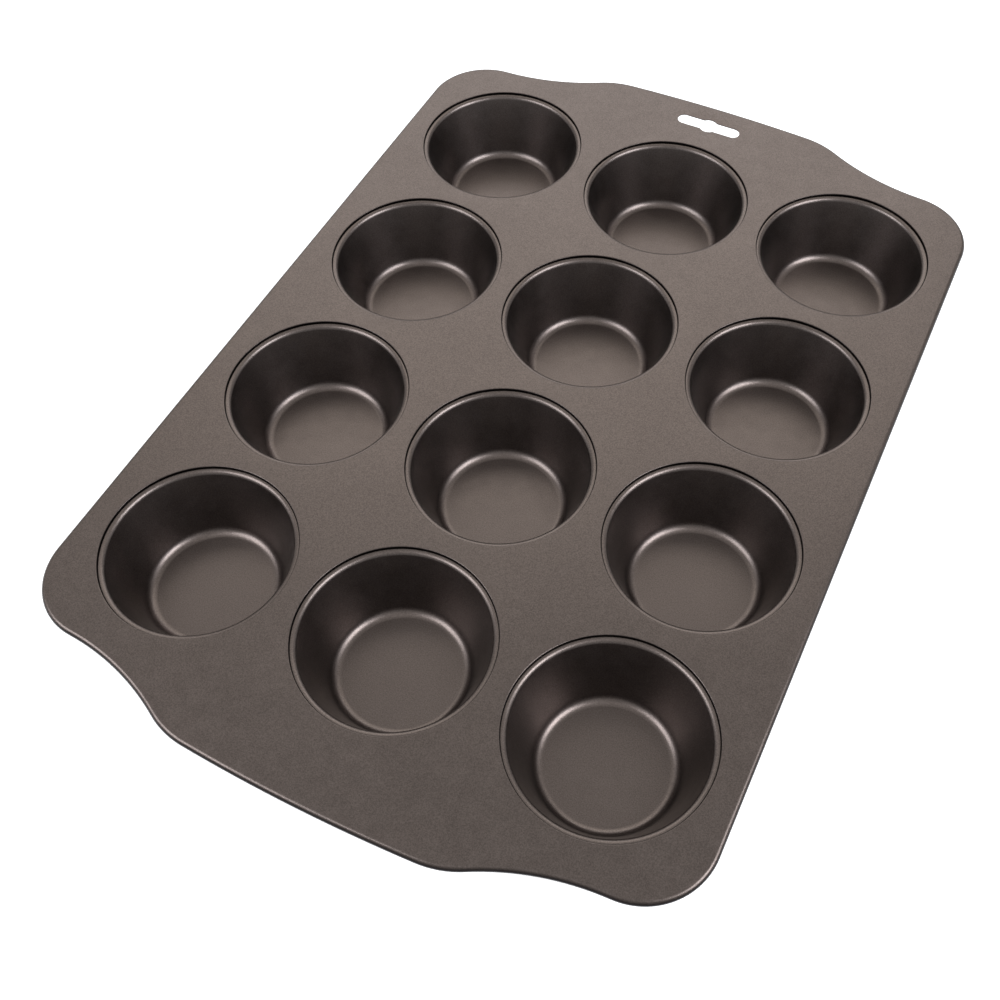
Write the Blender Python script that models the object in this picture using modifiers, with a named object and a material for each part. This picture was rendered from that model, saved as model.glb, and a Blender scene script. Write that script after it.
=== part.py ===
"""Muffin tin: a pressed deck with a rolled, wired rim and drawn cups seamed into its holes.

The deck lies flat. +X runs across the columns of cups, +Y along the rows towards the tab that has
the hang slot, and +Z up. The origin is under the middle of the tin, on the plane the cups rest on.
Every cup is a separate drawing. Its flange runs under the folded edge of its hole and hooks up and
back into the fold, which is a double seam.
"""
import bmesh
import bpy
from math import asin, atan2, cos, pi, radians, sin, sqrt, tan

MM = 0.001

# Sheet and fits
SHEET = 0.4 * MM
FIT_GAP = 0.3 * MM

# Cups, on a rectangular grid
COLUMNS = 3
ROWS = 4
CUP_DEPTH = 29.0 * MM
CUP_DRAFT = radians(19.3)
FLOOR_FILLET = 4.2 * MM
LIP_DROP = 1.05 * MM
LIP_FLAT = 0.3 * MM
LIP_RADIUS = 2.1 * MM

# Deck holes and the folded seam round each one
HOLE_RADIUS = 37.2 * MM
WEB_ACROSS = 9.2 * MM
WEB_ALONG = 8.8 * MM
SEAM_REACH = 2.4 * MM

# Deck outline
SIDE_MARGIN = 11.0 * MM
END_MARGIN = 12.2 * MM
CORNER_RADIUS = 27.3 * MM
TAB_REACH = 18.3 * MM
TAB_EDGE_HALF = 45.0 * MM
TAB_BOW_RADIUS = 742.0 * MM
SHOULDER_RADIUS = 38.0 * MM
HOLLOW_RADIUS = 103.0 * MM

# Rolled rim and the wire inside it
WIRE_RADIUS = 1.0 * MM
ROLL_TURN = radians(270)

# Hang slot in the +Y tab: a round-ended slot with a wider round hole at its middle
SLOT_LENGTH = 31.0 * MM
SLOT_WIDTH = 6.5 * MM
SLOT_BULGE = 9.0 * MM
SLOT_INSET = 14.2 * MM

# Facets
CIRCLE_STEPS = 24
ROLL_STEPS = 6
FILLET_STEPS = 3
LIP_STEPS = 2
BOW_STEPS = 4
SHOULDER_STEPS = 4
HOLLOW_STEPS = 5
CORNER_STEPS = 7
SLOT_STEPS = 12
WIRE_BEVEL_RESOLUTION = 2
SHARP_ANGLE = radians(50)

# Working distances of the modelling tools
CUTTER_OVERRUN = 0.4 * MM
MERGE_DISTANCE = 0.01 * MM

# Sizes that follow from those above
PITCH_ACROSS = 2 * HOLE_RADIUS + WEB_ACROSS
PITCH_ALONG = 2 * HOLE_RADIUS + WEB_ALONG
DECK_TOP = SHEET + CUP_DEPTH
BODY_HALF_WIDTH = (COLUMNS - 1) / 2 * PITCH_ACROSS + HOLE_RADIUS + SIDE_MARGIN
BODY_HALF_LENGTH = (ROWS - 1) / 2 * PITCH_ALONG + HOLE_RADIUS + END_MARGIN
TAB_EDGE = BODY_HALF_LENGTH + TAB_REACH
ROLL_RADIUS = WIRE_RADIUS + FIT_GAP + SHEET
FOLD_HEIGHT = 3 * SHEET + 2 * FIT_GAP
SEAM_RADIUS = HOLE_RADIUS + SEAM_REACH

# Finishes: colour, roughness and metallic value
COATING = ((0.150, 0.125, 0.117, 1.0), 0.34, 1.0)
BARE_STEEL = ((0.56, 0.55, 0.53, 1.0), 0.35, 1.0)


def clear_scene():
    for thing in list(bpy.data.objects):
        bpy.data.objects.remove(thing, do_unlink=True)


def new_collection(name):
    collection = bpy.data.collections.new(name)
    bpy.context.scene.collection.children.link(collection)
    return collection


def new_material(name, finish):
    colour, roughness, metallic = finish
    material = bpy.data.materials.new(name)
    material.use_nodes = True
    shader = material.node_tree.nodes["Principled BSDF"]
    shader.inputs["Base Color"].default_value = colour
    shader.inputs["Roughness"].default_value = roughness
    shader.inputs["Metallic"].default_value = metallic
    return material


def new_object(name, data, collection, material):
    thing = bpy.data.objects.new(name, data)
    collection.objects.link(thing)
    if material:
        data.materials.append(material)
    return thing


def add_solidify(thing):
    """Gives the open skin its sheet thickness on the side its faces point away from."""
    solidify = thing.modifiers.new("Sheet", "SOLIDIFY")
    solidify.thickness = SHEET
    solidify.offset = -1
    solidify.use_even_offset = True


def cup_places():
    """Yields each cup's name and centre; row 1 is at -Y and column 1 at -X."""
    for row in range(ROWS):
        for column in range(COLUMNS):
            x = (column - (COLUMNS - 1) / 2) * PITCH_ACROSS
            y = (row - (ROWS - 1) / 2) * PITCH_ALONG
            yield f"cup_row{row + 1}_col{column + 1}", (x, y)


def arc_points(centre, radius, start, end, steps):
    """Points on an arc, with both ends. Angles turn from the first axis towards the second."""
    points = []
    for step in range(steps + 1):
        angle = start + (end - start) * step / steps
        points.append((centre[0] + radius * cos(angle), centre[1] + radius * sin(angle)))
    return points


# ---------------------------------------------------------------- deck outline

def heading(start, end):
    """Angle of the line from start to end, turned from +Y towards +X."""
    return atan2(end[0] - start[0], end[1] - start[1])


def outline_arcs():
    """The outline's first quadrant as arcs: (centre, radius, start and end angle, steps).

    Angles turn from +Y towards +X and give the outward direction. A hollow arc has a negative
    radius, because its centre lies outside the deck.
    """
    bow_end = asin(TAB_EDGE_HALF / TAB_BOW_RADIUS)
    bow = (0, TAB_EDGE - TAB_BOW_RADIUS)
    reach = TAB_BOW_RADIUS - SHOULDER_RADIUS
    shoulder = (bow[0] + reach * sin(bow_end), bow[1] + reach * cos(bow_end))
    corner = (BODY_HALF_WIDTH - CORNER_RADIUS, BODY_HALF_LENGTH - CORNER_RADIUS)

    # The hollow touches the shoulder and the corner from outside both of them.
    across = (corner[0] - shoulder[0], corner[1] - shoulder[1])
    spacing = sqrt(across[0] ** 2 + across[1] ** 2)
    to_shoulder = HOLLOW_RADIUS + SHOULDER_RADIUS
    to_corner = HOLLOW_RADIUS + CORNER_RADIUS
    along = (to_shoulder ** 2 - to_corner ** 2 + spacing ** 2) / (2 * spacing)
    aside = sqrt(to_shoulder ** 2 - along ** 2)
    hollow = (
        shoulder[0] + (along * across[0] - aside * across[1]) / spacing,
        shoulder[1] + (along * across[1] + aside * across[0]) / spacing,
    )
    shoulder_end = heading(shoulder, hollow)
    corner_start = heading(corner, hollow)
    return [
        (bow, TAB_BOW_RADIUS, 0, bow_end, BOW_STEPS),
        (shoulder, SHOULDER_RADIUS, bow_end, shoulder_end, SHOULDER_STEPS),
        (hollow, -HOLLOW_RADIUS, shoulder_end, corner_start, HOLLOW_STEPS),
        (corner, CORNER_RADIUS, corner_start, pi / 2, CORNER_STEPS),
    ]


def outline_quadrant(inset):
    """The first quadrant's points, from the tab's middle to the side, moved in by inset."""
    points = []
    for centre, radius, start, end, steps in outline_arcs():
        for step in range(steps):
            angle = start + (end - start) * step / steps
            reach = radius - inset
            points.append((centre[0] + reach * sin(angle), centre[1] + reach * cos(angle)))
    points.append((BODY_HALF_WIDTH - inset, BODY_HALF_LENGTH - CORNER_RADIUS))
    return points


def outline(inset):
    """The whole outline, clockwise from the middle of the +Y tab, moved in by inset."""
    quadrant = outline_quadrant(inset)
    right = quadrant + [(x, -y) for x, y in reversed(quadrant)]
    left = [(-x, y) for x, y in reversed(right[1:-1])]
    return right + left


def circle(centre, radius):
    points = []
    for step in range(CIRCLE_STEPS):
        angle = 2 * pi * step / CIRCLE_STEPS
        points.append((centre[0] + radius * cos(angle), centre[1] + radius * sin(angle)))
    return points


# ---------------------------------------------------------------- deck

def add_loop(bm, points, z):
    """Adds a closed loop of edges and returns its corners in order."""
    corners = [bm.verts.new((x, y, z)) for x, y in points]
    for first, second in zip(corners, corners[1:] + corners[:1]):
        bm.edges.new((first, second))
    return corners


def loop_edges(bm, corners):
    return [bm.edges.get(pair) for pair in zip(corners, corners[1:] + corners[:1])]


def extrude_loop(bm, corners, points, z):
    """Extrudes a closed loop to new points at height z and returns its new corners in order."""
    made = bmesh.ops.extrude_edge_only(bm, edges=loop_edges(bm, corners))["geom"]
    fresh = {item for item in made if isinstance(item, bmesh.types.BMVert)}
    moved = []
    for corner, point in zip(corners, points):
        twin = next(e.other_vert(corner) for e in corner.link_edges if e.other_vert(corner) in fresh)
        twin.co = (point[0], point[1], z)
        moved.append(twin)
    return moved


def fold_hole(bm, corners, centre):
    """Folds the sheet round a hole down and back outwards, to make the outer half of the seam."""
    floor = DECK_TOP - FOLD_HEIGHT
    nose = extrude_loop(bm, corners, circle(centre, HOLE_RADIUS), floor)
    extrude_loop(bm, nose, circle(centre, SEAM_RADIUS), floor)


def roll_rim(bm, corners):
    """Rolls the sheet at the outline down, under and up again round the wire."""
    for step in range(1, ROLL_STEPS + 1):
        turn = ROLL_TURN * step / ROLL_STEPS
        inset = ROLL_RADIUS - ROLL_RADIUS * sin(turn)
        height = DECK_TOP - ROLL_RADIUS + ROLL_RADIUS * cos(turn)
        corners = extrude_loop(bm, corners, outline(inset), height)


def make_deck(collection, cutters, material):
    bm = bmesh.new()
    rim = add_loop(bm, outline(ROLL_RADIUS), DECK_TOP)
    holes = []
    for _, centre in cup_places():
        holes.append((centre, add_loop(bm, circle(centre, HOLE_RADIUS), DECK_TOP)))
    bmesh.ops.triangle_fill(bm, use_beauty=True, edges=bm.edges[:], normal=(0, 0, 1))
    for centre, corners in holes:
        fold_hole(bm, corners, centre)
    roll_rim(bm, rim)
    bmesh.ops.recalc_face_normals(bm, faces=bm.faces[:])
    top = max(bm.faces, key=lambda face: face.calc_center_median().z)
    if top.normal.z < 0:
        bmesh.ops.reverse_faces(bm, faces=bm.faces[:])

    mesh = bpy.data.meshes.new("deck")
    bm.to_mesh(mesh)
    bm.free()
    mesh.shade_smooth()
    mesh.set_sharp_from_angle(angle=SHARP_ANGLE)
    deck = new_object("deck", mesh, collection, material)
    add_solidify(deck)
    cut = deck.modifiers.new("Hang slot", "BOOLEAN")
    cut.operation = "DIFFERENCE"
    cut.solver = "EXACT"
    cut.object = make_slot_cutter(cutters)
    return deck


def slot_outline():
    """Half of the slot's edge to the +X side, from its bulge's bottom round to its top."""
    bulge = SLOT_BULGE / 2
    half_width = SLOT_WIDTH / 2
    end_centre = (SLOT_LENGTH / 2 - half_width, 0)
    join = asin(half_width / bulge)
    lower = arc_points((0, 0), bulge, -pi / 2, -join, SLOT_STEPS // 4)
    end = arc_points(end_centre, half_width, -pi / 2, pi / 2, SLOT_STEPS // 2)
    upper = arc_points((0, 0), bulge, join, pi / 2, SLOT_STEPS // 4)
    return lower + end + upper


def make_slot_cutter(cutters):
    right = slot_outline()
    left = [(-x, y) for x, y in reversed(right[1:-1])]
    middle = TAB_EDGE - SLOT_INSET
    bm = bmesh.new()
    underside = DECK_TOP - SHEET - CUTTER_OVERRUN
    loop = add_loop(bm, [(x, y + middle) for x, y in right + left], underside)
    bottom = bmesh.ops.triangle_fill(bm, use_beauty=True, edges=loop_edges(bm, loop))["geom"]
    faces = [item for item in bottom if isinstance(item, bmesh.types.BMFace)]
    made = bmesh.ops.extrude_face_region(bm, geom=faces)["geom"]
    top = [item for item in made if isinstance(item, bmesh.types.BMVert)]
    bmesh.ops.translate(bm, verts=top, vec=(0, 0, SHEET + 2 * CUTTER_OVERRUN))
    bmesh.ops.recalc_face_normals(bm, faces=bm.faces[:])
    mesh = bpy.data.meshes.new("hang_slot_cutter")
    bm.to_mesh(mesh)
    bm.free()
    cutter = new_object("hang_slot_cutter", mesh, cutters, None)
    cutter.hide_render = True
    cutter.display_type = "WIRE"
    return cutter


# ---------------------------------------------------------------- cups

def cup_profile():
    """Upper side of a cup's sheet as (r, z), from the hook's end in the seam to the floor's middle.

    Heights are measured from the deck's top. The hook lies between the two layers of the fold, the
    flange lies under the fold, and the lip stands up inside the hole.
    """
    hook_end = HOLE_RADIUS + SHEET + 2 * FIT_GAP
    riser = SEAM_RADIUS + FIT_GAP
    hook_under = -2 * SHEET - FIT_GAP
    flange = -FOLD_HEIGHT - FIT_GAP
    lip_edge = HOLE_RADIUS - FIT_GAP

    lip_centre = (lip_edge - LIP_FLAT, -LIP_DROP - LIP_RADIUS)
    lip = arc_points(lip_centre, LIP_RADIUS, pi / 2, pi - CUP_DRAFT, LIP_STEPS)

    wall_top = lip[-1]
    fillet_height = -CUP_DEPTH + FLOOR_FILLET
    wall_drop = wall_top[1] - (fillet_height - FLOOR_FILLET * sin(CUP_DRAFT))
    wall_foot = wall_top[0] - wall_drop * tan(CUP_DRAFT)
    fillet_centre = (wall_foot - FLOOR_FILLET * cos(CUP_DRAFT), fillet_height)
    fillet = arc_points(fillet_centre, FLOOR_FILLET, -CUP_DRAFT, -pi / 2, FILLET_STEPS)

    seam = [(hook_end, hook_under), (riser, hook_under), (riser, flange), (lip_edge, flange)]
    return seam + [(lip_edge, -LIP_DROP)] + lip + fillet + [(0, -CUP_DEPTH)]


def make_cup_mesh():
    """The cup's profile as a line of edges, from the floor's middle out to the hook's end."""
    bm = bmesh.new()
    line = [bm.verts.new((r, 0, z)) for r, z in reversed(cup_profile())]
    for pair in zip(line, line[1:]):
        bm.edges.new(pair)
    mesh = bpy.data.meshes.new("cup_profile")
    bm.to_mesh(mesh)
    bm.free()
    return mesh


def add_turning(thing):
    """Turns the object's profile once round its own upright axis."""
    turning = thing.modifiers.new("Turning", "SCREW")
    turning.axis = "Z"
    turning.angle = 2 * pi
    turning.steps = CIRCLE_STEPS
    turning.render_steps = CIRCLE_STEPS
    turning.use_merge_vertices = True
    turning.merge_threshold = MERGE_DISTANCE
    turning.use_smooth_shade = True


def make_cups(collection, material, parent):
    mesh = make_cup_mesh()
    mesh.materials.append(material)
    for name, (x, y) in cup_places():
        cup = new_object(name, mesh, collection, None)
        cup.parent = parent
        cup.location = (x, y, DECK_TOP)
        add_turning(cup)
        add_solidify(cup)


# ---------------------------------------------------------------- rim wire

def make_rim_wire(collection, material):
    """A closed loop of wire that fills the rolled rim."""
    curve = bpy.data.curves.new("rim_wire", "CURVE")
    curve.dimensions = "3D"
    curve.bevel_depth = WIRE_RADIUS
    curve.bevel_resolution = WIRE_BEVEL_RESOLUTION
    route = outline(ROLL_RADIUS)
    spline = curve.splines.new("POLY")
    spline.points.add(len(route) - 1)
    for point, (x, y) in zip(spline.points, route):
        point.co = (x, y, DECK_TOP - ROLL_RADIUS, 1)
    spline.use_cyclic_u = True
    return new_object("rim_wire", curve, collection, material)


def main():
    clear_scene()
    parts = new_collection("muffin_tin")
    cutters = new_collection("muffin_tin_cutters")
    frame = bpy.data.objects.new("muffin_tin_frame", None)
    parts.objects.link(frame)

    cup_coating = new_material("nonstick_coating_cups", COATING)
    deck_coating = new_material("nonstick_coating_deck", COATING)
    wire_steel = new_material("wire_steel", BARE_STEEL)

    deck = make_deck(parts, cutters, deck_coating)
    wire = make_rim_wire(parts, wire_steel)
    make_cups(parts, cup_coating, frame)
    deck.parent = frame
    wire.parent = frame


main()
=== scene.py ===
"""Looks of the muffin tin: fine sheet-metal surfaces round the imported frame, coating and studio."""
from math import asin, atan2, cos, pi, radians, sin, sqrt, tan

import bmesh
import bpy
from mathutils import Matrix, Vector


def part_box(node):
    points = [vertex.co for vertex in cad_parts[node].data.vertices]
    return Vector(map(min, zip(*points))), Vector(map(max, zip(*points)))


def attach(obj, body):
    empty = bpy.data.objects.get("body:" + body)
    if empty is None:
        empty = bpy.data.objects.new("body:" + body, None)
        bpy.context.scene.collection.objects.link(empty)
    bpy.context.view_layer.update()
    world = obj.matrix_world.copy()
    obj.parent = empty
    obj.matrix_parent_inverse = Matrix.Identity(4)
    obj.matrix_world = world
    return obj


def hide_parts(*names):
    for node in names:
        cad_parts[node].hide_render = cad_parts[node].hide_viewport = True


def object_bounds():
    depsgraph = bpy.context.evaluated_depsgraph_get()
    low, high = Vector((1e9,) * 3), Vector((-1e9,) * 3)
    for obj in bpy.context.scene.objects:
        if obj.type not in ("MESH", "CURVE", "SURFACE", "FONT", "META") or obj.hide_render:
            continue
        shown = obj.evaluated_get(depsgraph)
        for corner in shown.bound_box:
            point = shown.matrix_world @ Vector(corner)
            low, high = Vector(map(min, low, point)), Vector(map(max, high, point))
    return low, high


MM = 0.001

# Sheet metal, in metres
SHEET = 0.4 * MM
FIT_GAP = 0.3 * MM
SEAM_REACH = 2.4 * MM
FOLD_HEIGHT = 3 * SHEET + 2 * FIT_GAP
FOLD_ROUND = 0.45 * MM
LIP_GAP = 0.1 * MM
LIP_DROP = 1.05 * MM
LIP_FLAT = 0.3 * MM
LIP_EDGE_ROUND = 0.12 * MM
LIP_RADIUS = 2.1 * MM
CUP_DRAFT = radians(19.3)
FLOOR_FILLET = 4.2 * MM
CORNER_RADIUS = 27.3 * MM
TAB_REACH = 18.3 * MM
TAB_EDGE_HALF = 45.0 * MM
TAB_BOW_RADIUS = 742.0 * MM
SHOULDER_RADIUS = 38.0 * MM
HOLLOW_RADIUS = 103.0 * MM
WIRE_RADIUS = 1.0 * MM
ROLL_TURN = radians(270)
SLOT_LENGTH = 31.0 * MM
SLOT_WIDTH = 6.5 * MM
SLOT_BULGE = 9.0 * MM
SLOT_INSET = 14.2 * MM

# Facets of the fine surfaces
CIRCLE_STEPS = 96
EDGE_STEPS = 4
LIP_STEPS = 8
FILLET_STEPS = 10
ROLL_STEPS = 20
BOW_STEPS = 8
SHOULDER_STEPS = 12
HOLLOW_STEPS = 16
CORNER_STEPS = 28
SLOT_STEPS = 40
WIRE_BEVEL_STEPS = 3
SHARP_ANGLE = radians(60)       # edges that turn by more than this stay crisp
FACE_AREA_WEIGHT = 80           # how strongly large faces set the normals of the roundings
FLOOR_RING_SHARES = (0.0, 0.5, 0.9)     # rings across a cup's floor, as shares of its radius
WALL_RING_SHARES = (0.1, 0.5, 0.9)      # rings up a cup's wall, as shares of its height

# Camera, fitted to the tin's outline and circles
CAMERA_FOCAL = 42.84
CAMERA_SENSOR = 36.0
CAMERA_SHIFT = -0.030
CAMERA_AZIMUTH = radians(26.92)
CAMERA_ELEVATION = radians(56.52)
CAMERA_ROLL = radians(-0.93)
CAMERA_DISTANCE = 0.4525
CAMERA_AIM = (0.0177, -0.0518)

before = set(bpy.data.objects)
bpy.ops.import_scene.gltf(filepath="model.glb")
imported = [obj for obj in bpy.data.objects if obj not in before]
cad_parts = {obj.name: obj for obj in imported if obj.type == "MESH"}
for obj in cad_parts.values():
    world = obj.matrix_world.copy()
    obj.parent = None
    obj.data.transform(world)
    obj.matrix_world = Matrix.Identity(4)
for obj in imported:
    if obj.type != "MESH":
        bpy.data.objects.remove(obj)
cad_low, cad_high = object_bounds()
DECK_LOW, DECK_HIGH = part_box("deck")
DECK_TOP = DECK_HIGH.z
CUP_NODES = sorted(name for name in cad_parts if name.startswith("cup_"))
CUP_LOW, CUP_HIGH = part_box(CUP_NODES[0])
SEAM_OUTER = (CUP_HIGH.x - CUP_LOW.x) / 2
HOLE_RADIUS = SEAM_OUTER - SHEET - FIT_GAP - SEAM_REACH
CUP_DEPTH = DECK_TOP - SHEET - CUP_LOW.z
HALF_WIDTH = (DECK_HIGH.x - DECK_LOW.x) / 2
TAB_EDGE = (DECK_HIGH.y - DECK_LOW.y) / 2
HALF_LENGTH = TAB_EDGE - TAB_REACH
ROLL_RADIUS = WIRE_RADIUS + FIT_GAP + SHEET


def cup_centre(node):
    low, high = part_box(node)
    return (low.x + high.x) / 2, (low.y + high.y) / 2


# ---------------------------------------------------------------- profiles

def arc_points(centre, radius, start, end, steps):
    """Points on an arc, with both ends. Angles turn from the first axis towards the second."""
    points = []
    for step in range(steps + 1):
        angle = start + (end - start) * step / steps
        points.append((centre[0] + radius * cos(angle), centre[1] + radius * sin(angle)))
    return points


def cup_profile():
    """Upper side of a cup's sheet as (r, z) below the deck's top, from the floor to the hook."""
    riser = SEAM_OUTER - SHEET
    hook_end = HOLE_RADIUS + SHEET + 2 * FIT_GAP
    hook_under = -2 * SHEET - FIT_GAP
    flange = -FOLD_HEIGHT - FIT_GAP
    lip_edge = HOLE_RADIUS - LIP_GAP

    lip_centre = (lip_edge - LIP_FLAT, -LIP_DROP - LIP_RADIUS)
    lip = arc_points(lip_centre, LIP_RADIUS, pi - CUP_DRAFT, pi / 2, LIP_STEPS)
    wall_top = lip[0]
    fillet_height = -CUP_DEPTH + FLOOR_FILLET
    wall_drop = wall_top[1] - (fillet_height - FLOOR_FILLET * sin(CUP_DRAFT))
    wall_foot = wall_top[0] - wall_drop * tan(CUP_DRAFT)
    fillet_centre = (wall_foot - FLOOR_FILLET * cos(CUP_DRAFT), fillet_height)
    fillet = arc_points(fillet_centre, FLOOR_FILLET, -pi / 2, -CUP_DRAFT, FILLET_STEPS)
    edge_centre = (lip_edge - LIP_EDGE_ROUND, -LIP_DROP - LIP_EDGE_ROUND)
    edge = arc_points(edge_centre, LIP_EDGE_ROUND, pi / 2, 0, EDGE_STEPS)
    seam = [(lip_edge, flange), (riser, flange), (riser, hook_under), (hook_end, hook_under)]
    middle = [(fillet_centre[0] * share, -CUP_DEPTH) for share in FLOOR_RING_SHARES]
    wall = [(fillet[-1][0] + (wall_top[0] - fillet[-1][0]) * share,
             fillet[-1][1] + (wall_top[1] - fillet[-1][1]) * share) for share in WALL_RING_SHARES]
    return middle + fillet + wall + lip + edge + seam


# ---------------------------------------------------------------- outline

def heading(start, end):
    return atan2(end[0] - start[0], end[1] - start[1])


def outline_arcs():
    """The outline's first quadrant as arcs; a hollow arc has a negative radius."""
    bow_end = asin(TAB_EDGE_HALF / TAB_BOW_RADIUS)
    bow = (0, TAB_EDGE - TAB_BOW_RADIUS)
    reach = TAB_BOW_RADIUS - SHOULDER_RADIUS
    shoulder = (bow[0] + reach * sin(bow_end), bow[1] + reach * cos(bow_end))
    corner = (HALF_WIDTH - CORNER_RADIUS, HALF_LENGTH - CORNER_RADIUS)
    across = (corner[0] - shoulder[0], corner[1] - shoulder[1])
    spacing = sqrt(across[0] ** 2 + across[1] ** 2)
    to_shoulder = HOLLOW_RADIUS + SHOULDER_RADIUS
    to_corner = HOLLOW_RADIUS + CORNER_RADIUS
    along = (to_shoulder ** 2 - to_corner ** 2 + spacing ** 2) / (2 * spacing)
    aside = sqrt(to_shoulder ** 2 - along ** 2)
    hollow = (
        shoulder[0] + (along * across[0] - aside * across[1]) / spacing,
        shoulder[1] + (along * across[1] + aside * across[0]) / spacing,
    )
    shoulder_end = heading(shoulder, hollow)
    corner_start = heading(corner, hollow)
    return [
        (bow, TAB_BOW_RADIUS, 0, bow_end, BOW_STEPS),
        (shoulder, SHOULDER_RADIUS, bow_end, shoulder_end, SHOULDER_STEPS),
        (hollow, -HOLLOW_RADIUS, shoulder_end, corner_start, HOLLOW_STEPS),
        (corner, CORNER_RADIUS, corner_start, pi / 2, CORNER_STEPS),
    ]


def outline(inset):
    """The whole outline, clockwise from the middle of the +Y tab, moved in by inset."""
    quadrant = []
    for centre, radius, start, end, steps in outline_arcs():
        for step in range(steps):
            angle = start + (end - start) * step / steps
            reach = radius - inset
            quadrant.append((centre[0] + reach * sin(angle), centre[1] + reach * cos(angle)))
    quadrant.append((HALF_WIDTH - inset, HALF_LENGTH - CORNER_RADIUS))
    right = quadrant + [(x, -y) for x, y in reversed(quadrant)]
    return right + [(-x, y) for x, y in reversed(right[1:-1])]


def circle(centre, radius):
    return arc_points(centre, radius, 0, 2 * pi * (1 - 1 / CIRCLE_STEPS), CIRCLE_STEPS - 1)


def slot_outline():
    """The hang slot's edge: a round-ended slot with a round bulge in its middle."""
    bulge = SLOT_BULGE / 2
    half_width = SLOT_WIDTH / 2
    end_centre = SLOT_LENGTH / 2 - SLOT_WIDTH / 2
    join = asin(half_width / bulge)
    quarter = SLOT_STEPS // 4
    lower = arc_points((0, 0), bulge, -pi / 2, -join, quarter)
    end = arc_points((end_centre, 0), half_width, -pi / 2, pi / 2, SLOT_STEPS // 2)
    upper = arc_points((0, 0), bulge, join, pi / 2, quarter)
    right = lower + end + upper
    middle = TAB_EDGE - SLOT_INSET
    return [(x, y + middle) for x, y in right + [(-x, y) for x, y in reversed(right[1:-1])]]


# ---------------------------------------------------------------- mesh helpers

def add_loop(bm, points, z):
    corners = [bm.verts.new((x, y, z)) for x, y in points]
    for first, second in zip(corners, corners[1:] + corners[:1]):
        bm.edges.new((first, second))
    return corners


def extrude_loop(bm, corners, points, z):
    """Adds a ring of new points at height z, joined to the last ring, and returns its corners."""
    fresh = [bm.verts.new((x, y, z)) for x, y in points]
    for quad in zip(corners, corners[1:] + corners[:1], fresh[1:] + fresh[:1], fresh):
        bm.faces.new(quad)
    return fresh


def finish_mesh(name, bm):
    mesh = bpy.data.meshes.new(name)
    bm.to_mesh(mesh)
    bm.free()
    mesh.shade_smooth()
    mesh.set_sharp_from_angle(angle=SHARP_ANGLE)
    piece = bpy.data.objects.new(name, mesh)
    bpy.context.scene.collection.objects.link(piece)
    return piece


def add_sheet(piece):
    """Gives the skin its sheet thickness, below and behind the side that was modelled."""
    solidify = piece.modifiers.new("Sheet", "SOLIDIFY")
    solidify.thickness = SHEET
    solidify.offset = -1
    solidify.use_even_offset = True
    weighted = piece.modifiers.new("Flat stays flat", "WEIGHTED_NORMAL")
    weighted.keep_sharp = True
    weighted.weight = FACE_AREA_WEIGHT


# ---------------------------------------------------------------- pieces

def make_deck():
    bm = bmesh.new()
    rim = add_loop(bm, outline(ROLL_RADIUS), DECK_TOP)
    add_loop(bm, slot_outline(), DECK_TOP)
    round_start = HOLE_RADIUS + FOLD_ROUND
    holes = []
    for node in CUP_NODES:
        centre = cup_centre(node)
        holes.append((centre, add_loop(bm, circle(centre, round_start), DECK_TOP)))
    bmesh.ops.triangle_fill(bm, use_beauty=True, edges=bm.edges[:], normal=(0, 0, 1))
    fold = arc_points((round_start, -FOLD_ROUND), FOLD_ROUND, pi / 2, pi, EDGE_STEPS)[1:]
    fold += arc_points((round_start, FOLD_ROUND - FOLD_HEIGHT), FOLD_ROUND, pi, 3 * pi / 2, EDGE_STEPS)
    fold.append((HOLE_RADIUS + SEAM_REACH, -FOLD_HEIGHT))
    for centre, corners in holes:
        for radius, z in fold:
            corners = extrude_loop(bm, corners, circle(centre, radius), DECK_TOP + z)
    for step in range(1, ROLL_STEPS + 1):
        turn = ROLL_TURN * step / ROLL_STEPS
        inset = ROLL_RADIUS * (1 - sin(turn))
        drop = ROLL_RADIUS * (1 - cos(turn))
        rim = extrude_loop(bm, rim, outline(inset), DECK_TOP - drop)
    bmesh.ops.recalc_face_normals(bm, faces=bm.faces[:])
    flat = max(bm.faces, key=lambda face: face.calc_area())
    if flat.normal.z < 0:
        bmesh.ops.reverse_faces(bm, faces=bm.faces[:])
    deck = finish_mesh("deck_sheet", bm)
    add_sheet(deck)
    return deck


def make_cup(node):
    bm = bmesh.new()
    x, y = cup_centre(node)
    profile = cup_profile()
    middle = bm.verts.new((x, y, DECK_TOP + profile[0][1]))
    corners = add_loop(bm, circle((x, y), profile[1][0]), DECK_TOP + profile[1][1])
    for first, second in zip(corners, corners[1:] + corners[:1]):
        bm.faces.new((middle, first, second))
    for radius, z in profile[2:]:
        corners = extrude_loop(bm, corners, circle((x, y), radius), DECK_TOP + z)
    bmesh.ops.recalc_face_normals(bm, faces=bm.faces[:])
    if middle.link_faces[0].normal.z < 0:
        bmesh.ops.reverse_faces(bm, faces=bm.faces[:])
    cup = finish_mesh(node.replace("cup_", "cup_shell_"), bm)
    add_sheet(cup)
    return cup


def make_wire():
    curve = bpy.data.curves.new("rim_wire_loop", "CURVE")
    curve.dimensions = "3D"
    curve.bevel_depth = WIRE_RADIUS
    curve.bevel_resolution = WIRE_BEVEL_STEPS
    route = outline(ROLL_RADIUS)
    spline = curve.splines.new("POLY")
    spline.points.add(len(route) - 1)
    for point, (x, y) in zip(spline.points, route):
        point.co = (x, y, DECK_TOP - ROLL_RADIUS, 1)
    spline.use_cyclic_u = True
    wire = bpy.data.objects.new("rim_wire_loop", curve)
    bpy.context.scene.collection.objects.link(wire)
    return wire


# ---------------------------------------------------------------- materials

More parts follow.
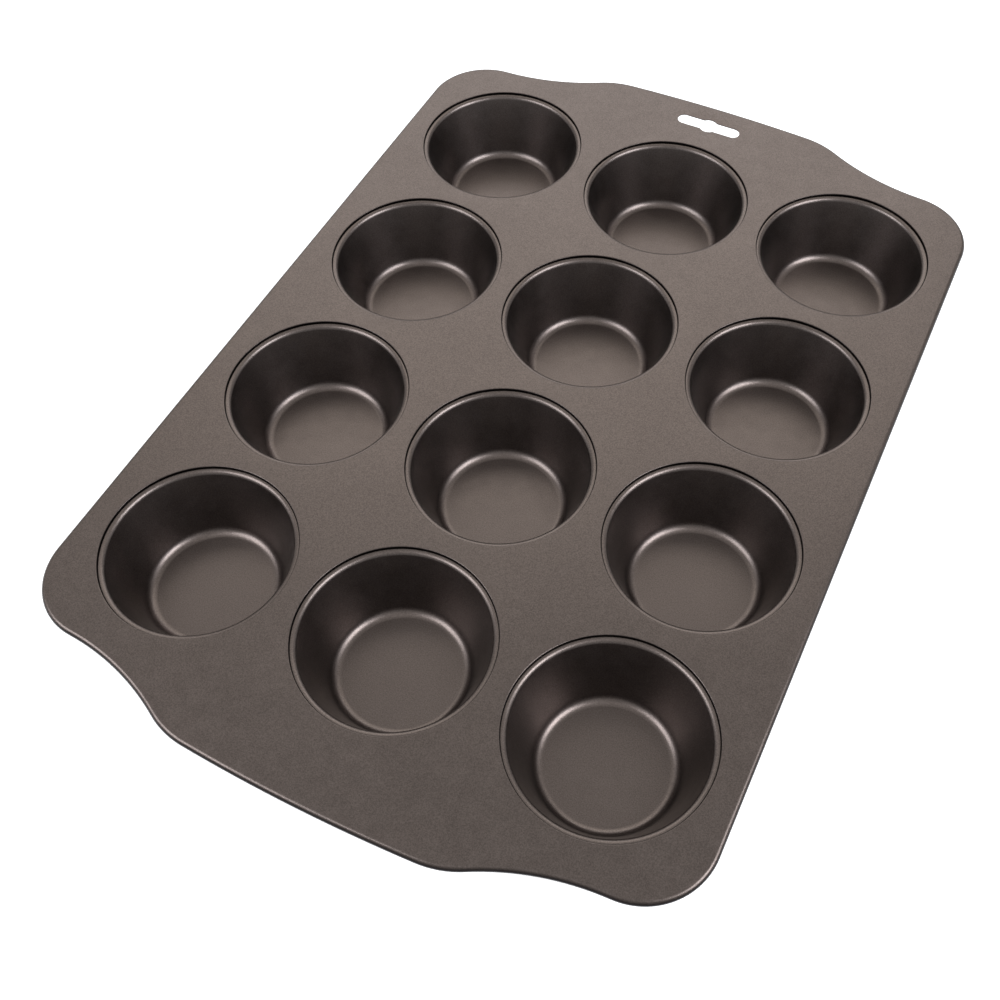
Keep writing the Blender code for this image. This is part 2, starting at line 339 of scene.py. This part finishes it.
COATING_COLOUR = (0.154, 0.1262, 0.113)
COATING_ROUGHNESS = 0.34
ROUGHNESS_SPREAD = 0.03
DECK_TINT = 1.0
# Painted light: the cups' coating is the deck's coating made 10% brighter
CUP_PAINTED_LIGHT = 1.1
WIRE_COLOUR = (0.56, 0.55, 0.53, 1)

# Painted shade: colour multipliers at values of the surface normal's Z, which is -1 facing down and 1
# facing up
FULL = (1, 1, 1, 1)
# Painted shade: the deck's rolled rim side and seam fold walls turn near black, standing in for a dark
# reflection
SIDEWAYS_PAINTED_SHADE = (0.07, 0.07, 0.08, 1)
# Painted shade: cup walls and undersides darker than the cup floors
CUP_WALL_PAINTED_SHADE = (0.8, 0.84, 0.88, 1)
DECK_PAINTED_SHADE_STOPS = ((-0.85, FULL), (-0.6, SIDEWAYS_PAINTED_SHADE), (0.58, SIDEWAYS_PAINTED_SHADE), (0.98, FULL))
CUP_PAINTED_SHADE_STOPS = ((0.5, CUP_WALL_PAINTED_SHADE), (0.92, FULL))

# Noise, as cells per metre and levels of detail
FLECK_NOISE = (2300, 2)
CLOUD_NOISE = (28, 3)
SHEEN_NOISE = (180, 4)
GRAIN_NOISE = (2400, 2)
PEEL_NOISE = (120, 2)
WIRE_SHEEN_NOISE = (900, 3)
WIRE_GRAIN_NOISE = (1800, 2)
NOISE_LOW, NOISE_HIGH = 0.3, 0.7        # a noise texture rarely leaves this range


def new_material(name):
    material = bpy.data.materials.new(name)
    material.use_nodes = True
    tree = material.node_tree
    return material, tree, tree.nodes["Principled BSDF"]


def noise(tree, cells):
    coords = tree.nodes.new("ShaderNodeTexCoord")
    texture = tree.nodes.new("ShaderNodeTexNoise")
    texture.inputs["Scale"].default_value, texture.inputs["Detail"].default_value = cells
    tree.links.new(coords.outputs["Object"], texture.inputs["Vector"])
    return texture.outputs["Fac"]


def spread(tree, value, low, high):
    """Maps a noise value's middle range onto low to high."""
    ranged = tree.nodes.new("ShaderNodeMapRange")
    ranged.inputs["From Min"].default_value = NOISE_LOW
    ranged.inputs["From Max"].default_value = NOISE_HIGH
    ranged.inputs["To Min"].default_value = low
    ranged.inputs["To Max"].default_value = high
    tree.links.new(value, ranged.inputs["Value"])
    return ranged.outputs["Result"]


def bump(tree, cells, strength, distance):
    """Adds a bump node driven by noise."""
    node = tree.nodes.new("ShaderNodeBump")
    node.inputs["Strength"].default_value = strength
    node.inputs["Distance"].default_value = distance
    tree.links.new(noise(tree, cells), node.inputs["Height"])
    return node


def coating(name, painted_light, painted_shade_stops):
    """Satin non-stick coating: dark warm grey with a fine fleck and a faint orange peel, made brighter
    by a painted-light factor and darker on steep faces by painted shade.
    """
    material, tree, shader = new_material(name)
    # The factor is painted light: above 1 it brightens this copy of the coating
    colour = [channel * painted_light for channel in COATING_COLOUR]
    shader.inputs["Metallic"].default_value = 1.0

    fleck = spread(tree, noise(tree, FLECK_NOISE), 0.78, 1.22)
    cloud = spread(tree, noise(tree, CLOUD_NOISE), 0.97, 1.03)
    both = tree.nodes.new("ShaderNodeMath")
    both.operation = "MULTIPLY"
    tree.links.new(fleck, both.inputs[0])
    tree.links.new(cloud, both.inputs[1])
    tinted = tree.nodes.new("ShaderNodeVectorMath")
    tinted.operation = "SCALE"
    tinted.inputs[0].default_value = colour
    tree.links.new(both.outputs[0], tinted.inputs["Scale"])
    tree.links.new(tinted.outputs["Vector"], shader.inputs["Base Color"])

    low, high = COATING_ROUGHNESS - ROUGHNESS_SPREAD, COATING_ROUGHNESS + ROUGHNESS_SPREAD
    tree.links.new(spread(tree, noise(tree, SHEEN_NOISE), low, high), shader.inputs["Roughness"])

    grain = bump(tree, GRAIN_NOISE, 0.12, 0.02 * MM)
    peel = bump(tree, PEEL_NOISE, 0.25, 0.05 * MM)
    tree.links.new(grain.outputs["Normal"], peel.inputs["Normal"])
    tree.links.new(peel.outputs["Normal"], shader.inputs["Normal"])
    # Painted shade: steep faces darkened by their slope
    paint_shade_by_slope(tree, shader, painted_shade_stops)
    return material


def paint_shade_by_slope(tree, shader, stops):
    """Paints shade: multiplies the colour by a colour read off stops of (surface normal's Z,
    multiplier), darkening steep faces in place of dark reflections.
    """
    colour = shader.inputs["Base Color"].links[0].from_socket
    geometry = tree.nodes.new("ShaderNodeNewGeometry")
    parts = tree.nodes.new("ShaderNodeSeparateXYZ")
    tree.links.new(geometry.outputs["Normal"], parts.inputs["Vector"])
    unit = tree.nodes.new("ShaderNodeMapRange")
    unit.inputs["From Min"].default_value = -1.0
    tree.links.new(parts.outputs["Z"], unit.inputs["Value"])
    ramp = tree.nodes.new("ShaderNodeValToRGB")
    elements = ramp.color_ramp.elements
    while len(elements) < len(stops):
        elements.new(0.5)
    for element, (slope, multiplier) in zip(elements, stops):
        element.position = (slope + 1) / 2
        element.color = multiplier
    tree.links.new(unit.outputs["Result"], ramp.inputs["Fac"])
    scaled = tree.nodes.new("ShaderNodeVectorMath")
    scaled.operation = "MULTIPLY"
    tree.links.new(colour, scaled.inputs[0])
    tree.links.new(ramp.outputs["Color"], scaled.inputs[1])
    tree.links.new(scaled.outputs["Vector"], shader.inputs["Base Color"])


def drawn_wire():
    material, tree, shader = new_material("drawn_wire_steel")
    shader.inputs["Base Color"].default_value = WIRE_COLOUR
    shader.inputs["Metallic"].default_value = 1.0
    sheen = spread(tree, noise(tree, WIRE_SHEEN_NOISE), 0.25, 0.45)
    tree.links.new(sheen, shader.inputs["Roughness"])
    grain = bump(tree, WIRE_GRAIN_NOISE, 0.2, 0.02 * MM)
    tree.links.new(grain.outputs["Normal"], shader.inputs["Normal"])
    return material


# ---------------------------------------------------------------- studio

FLOOR_HALF = 4.0
FLOOR_GAP = 0.1 * MM          # the floor lies this far under the cups, so no faces coincide
FLOOR_GLOW = 0.6              # keeps the white floor white beside the tin
WORLD_STRENGTH = 0.52
CLIP_START = 10 * MM
PANEL_DISTANCE = 1.8
# name, azimuth, elevation, width, height, watts, colour; azimuth 0 is -Y and 90 is +X
PANELS = (
    ("right_softbox", 90, 44, 0.95, 0.95, 21, (0.90, 0.93, 1.0)),
    ("left_softbox", 314, 44, 1.1, 0.95, 15.5, (0.90, 0.93, 1.0)),
    ("back_low_panel", 203, 32, 1.75, 0.6, 4.3, (0.95, 0.97, 1.0)),
    ("back_high_panel", 207, 51, 1.75, 0.6, 2.8, (1.0, 0.98, 0.94)),
)


def make_floor():
    bm = bmesh.new()
    bmesh.ops.create_grid(bm, x_segments=2, y_segments=2, size=FLOOR_HALF)
    mesh = bpy.data.meshes.new("floor")
    bm.to_mesh(mesh)
    bm.free()
    floor = bpy.data.objects.new("floor", mesh)
    floor.location.z = cad_low.z - FLOOR_GAP
    bpy.context.scene.collection.objects.link(floor)
    material, tree, shader = new_material("pale_floor")
    shader.inputs["Base Color"].default_value = (0.93, 0.93, 0.93, 1)
    shader.inputs["Roughness"].default_value = 0.8
    shader.inputs["Specular IOR Level"].default_value = 0.2
    shader.inputs["Emission Color"].default_value = (1, 1, 1, 1)
    shader.inputs["Emission Strength"].default_value = FLOOR_GLOW
    mesh.materials.append(material)


def direction(azimuth, elevation):
    """Unit vector from the tin towards an azimuth and elevation in radians."""
    level = cos(elevation)
    return Vector((sin(azimuth) * level, -cos(azimuth) * level, sin(elevation)))


def add_panel(name, azimuth, elevation, width, height, watts, colour):
    """A soft panel light that faces the tin."""
    light = bpy.data.lights.new(name, "AREA")
    light.shape = "RECTANGLE"
    light.size = width
    light.size_y = height
    light.energy = watts
    light.color = colour
    lamp = bpy.data.objects.new(name, light)
    away = direction(radians(azimuth), radians(elevation))
    lamp.location = away * PANEL_DISTANCE
    lamp.rotation_mode = "QUATERNION"
    lamp.rotation_quaternion = away.to_track_quat("Z", "Y")
    bpy.context.scene.collection.objects.link(lamp)


def make_world():
    world = bpy.data.worlds.new("studio")
    bpy.context.scene.world = world
    world.use_nodes = True
    background = world.node_tree.nodes["Background"]
    background.inputs["Color"].default_value = (1, 1, 1, 1)
    background.inputs["Strength"].default_value = WORLD_STRENGTH


def make_camera():
    data = bpy.data.cameras.new("camera")
    data.lens = CAMERA_FOCAL
    data.sensor_width = CAMERA_SENSOR
    data.shift_x = CAMERA_SHIFT
    data.clip_start = CLIP_START
    camera = bpy.data.objects.new("camera", data)
    back = direction(CAMERA_AZIMUTH, CAMERA_ELEVATION)
    right = Vector((cos(CAMERA_AZIMUTH), sin(CAMERA_AZIMUTH), 0))
    up = back.cross(right)
    across = right * cos(CAMERA_ROLL) + up * sin(CAMERA_ROLL)
    upward = up * cos(CAMERA_ROLL) - right * sin(CAMERA_ROLL)
    turn = Matrix((across, upward, back)).transposed().to_4x4()
    aim = Vector((CAMERA_AIM[0], CAMERA_AIM[1], DECK_TOP))
    camera.matrix_world = Matrix.Translation(aim + back * CAMERA_DISTANCE) @ turn
    bpy.context.scene.collection.objects.link(camera)
    bpy.context.scene.camera = camera


def main():
    deck_coating = coating("deck_coating", DECK_TINT, DECK_PAINTED_SHADE_STOPS)
    cup_coating = coating("cup_coating", CUP_PAINTED_LIGHT, CUP_PAINTED_SHADE_STOPS)
    deck = make_deck()
    deck.data.materials.append(deck_coating)
    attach(deck, "root")
    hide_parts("deck")
    for node in CUP_NODES:
        cup = make_cup(node)
        cup.data.materials.append(cup_coating)
        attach(cup, "root")
        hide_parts(node)
    wire = make_wire()
    wire.data.materials.append(drawn_wire())
    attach(wire, "root")
    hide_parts("rim_wire")

    make_floor()
    make_world()
    for panel in PANELS:
        add_panel(*panel)
    bpy.context.scene.view_settings.view_transform = "Standard"
    make_camera()


main()
